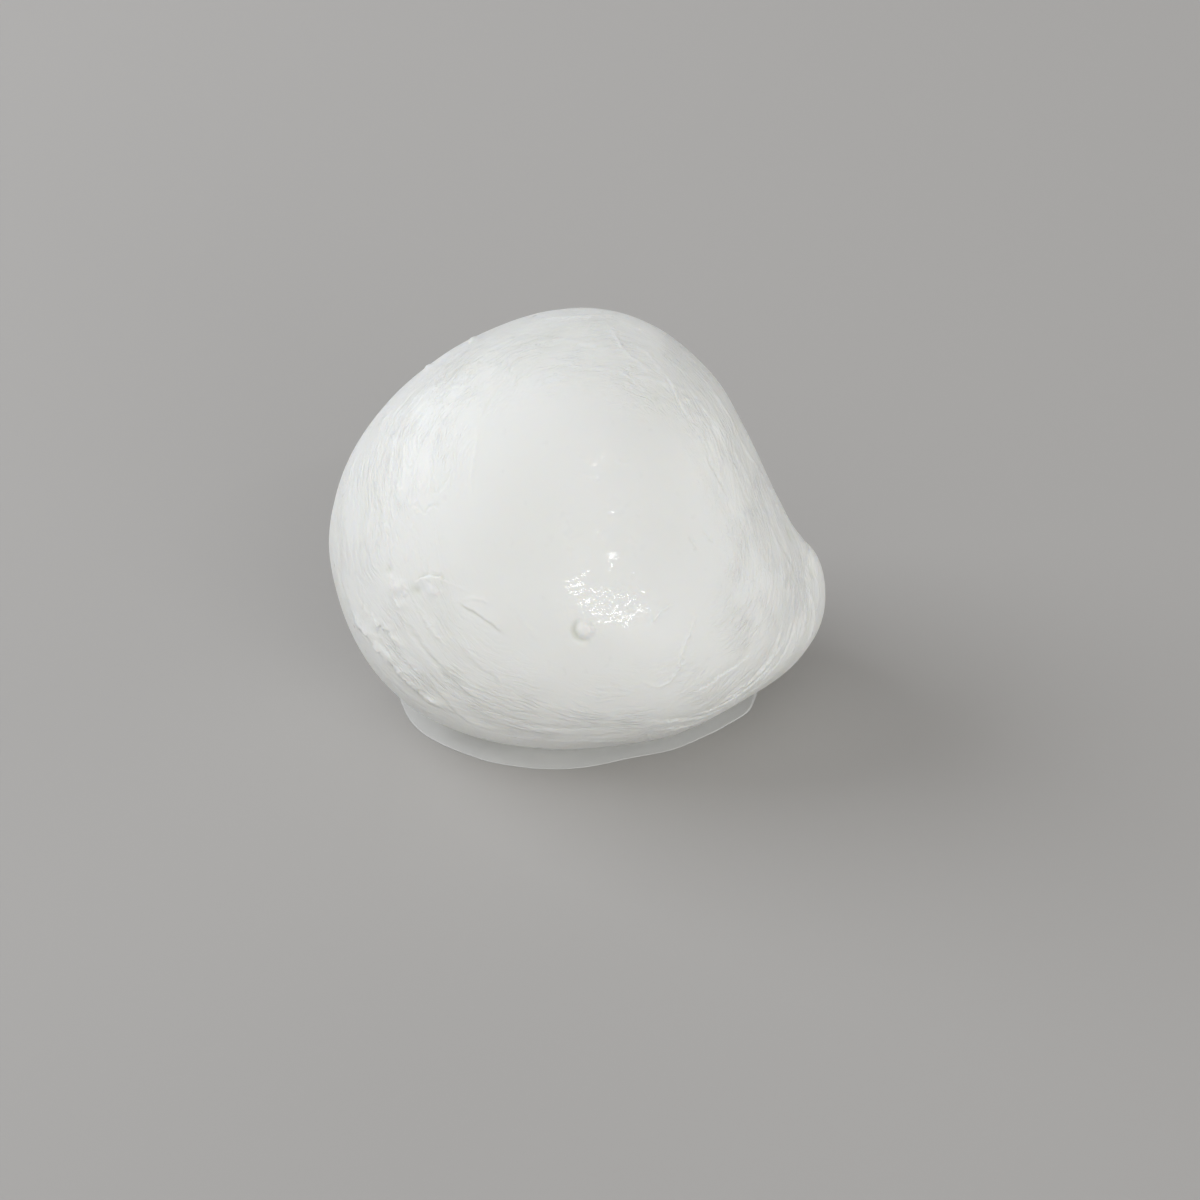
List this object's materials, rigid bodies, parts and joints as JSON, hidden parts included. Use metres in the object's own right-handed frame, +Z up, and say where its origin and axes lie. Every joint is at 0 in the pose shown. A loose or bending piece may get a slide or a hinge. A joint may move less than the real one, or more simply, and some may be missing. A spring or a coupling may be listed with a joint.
{
  "type": "mozzarella ball",
  "caption": "Soft white ball of fresh mozzarella, slumped onto a flat foot, with a smooth moist skin and a pinched tail folded against one flank.",
  "frame": {"origin": "middle of the ball's box, on the plane that it rests on", "axes": "+Z up; +X towards the pinched tail; -Y is the smooth front face"},
  "size_m": [0.0884, 0.0742, 0.0715],
  "materials": {
    "curd": "moist satin, slightly translucent"
  },
  "bodies": {
    "root": {"mozzarella_ball": "curd"}
  },
  "joints": []
}
